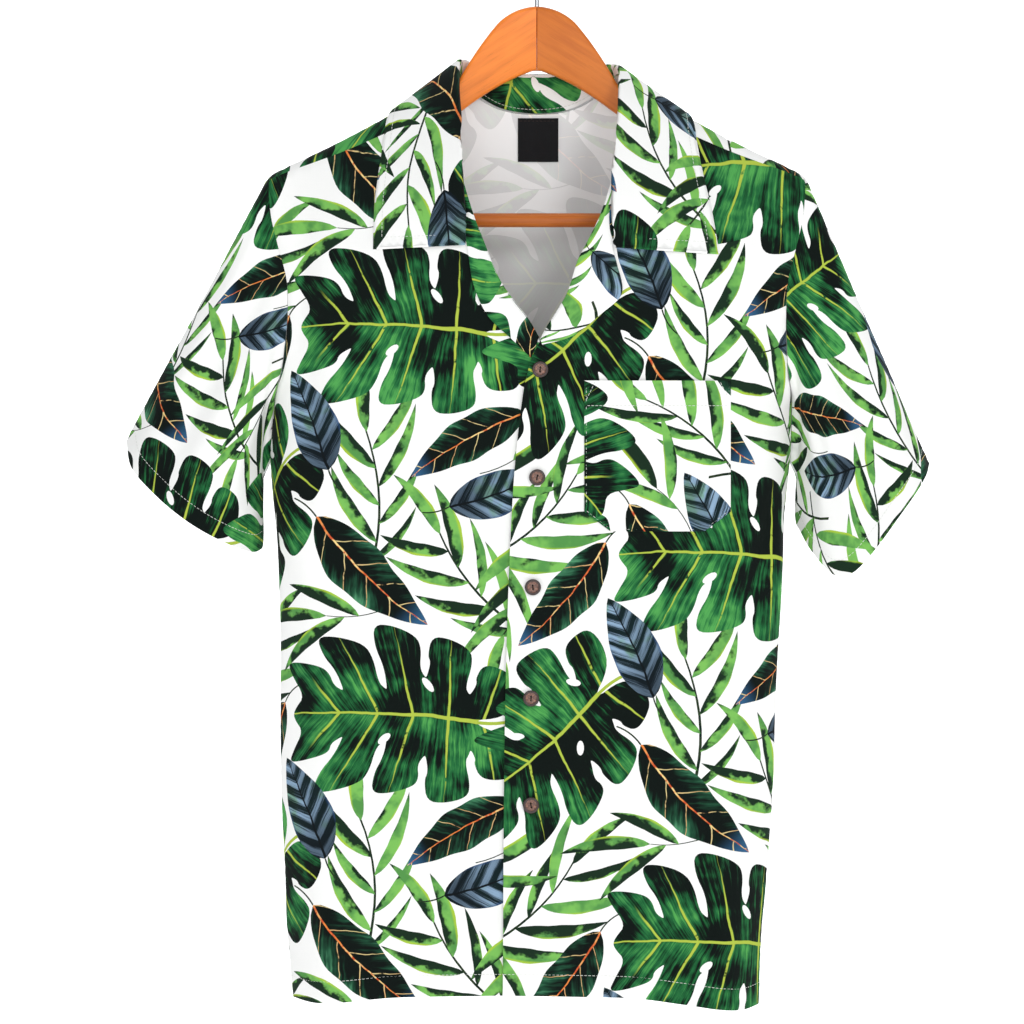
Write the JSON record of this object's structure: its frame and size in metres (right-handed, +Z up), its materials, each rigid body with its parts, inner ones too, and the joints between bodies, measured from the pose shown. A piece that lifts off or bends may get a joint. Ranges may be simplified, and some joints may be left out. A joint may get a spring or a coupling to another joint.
{
  "type": "hawaiian shirt on wooden hanger",
  "caption": "Short-sleeved hawaiian shirt with camp collar, leaf print, button front and chest pocket, hanging on a flat wooden hanger with a bar.",
  "frame": {"origin": "inside top of the hanger's hook, where the rail carries it", "axes": "+Z up, +X towards the wearer's left, +Y behind the shirt, so the front faces -Y"},
  "size_m": [0.6621, 0.1366, 0.8907],
  "materials": {
    "printed_cloth": "soft matt plain weave with a printed pattern of green leaves",
    "label_cloth": "plain black woven label",
    "button_brown": "dark brown shell, two holes",
    "hanger_wood": "orange-brown wood under satin lacquer",
    "hook_wire": "bright steel wire"
  },
  "bodies": {
    "root": {"back": "printed_cloth", "front_right": "printed_cloth", "front_left": "printed_cloth", "lapel_right": "printed_cloth", "lapel_left": "printed_cloth", "collar": "printed_cloth", "sleeve_right": "printed_cloth", "sleeve_left": "printed_cloth", "pocket": "printed_cloth", "label": "label_cloth", "button_1": "button_brown", "button_2": "button_brown", "button_3": "button_brown", "button_4": "button_brown", "button_5": "button_brown", "hanger_arm_right": "hanger_wood", "hanger_arm_left": "hanger_wood", "hanger_bar": "hanger_wood", "hanger_hook": "hook_wire"}
  },
  "joints": []
}
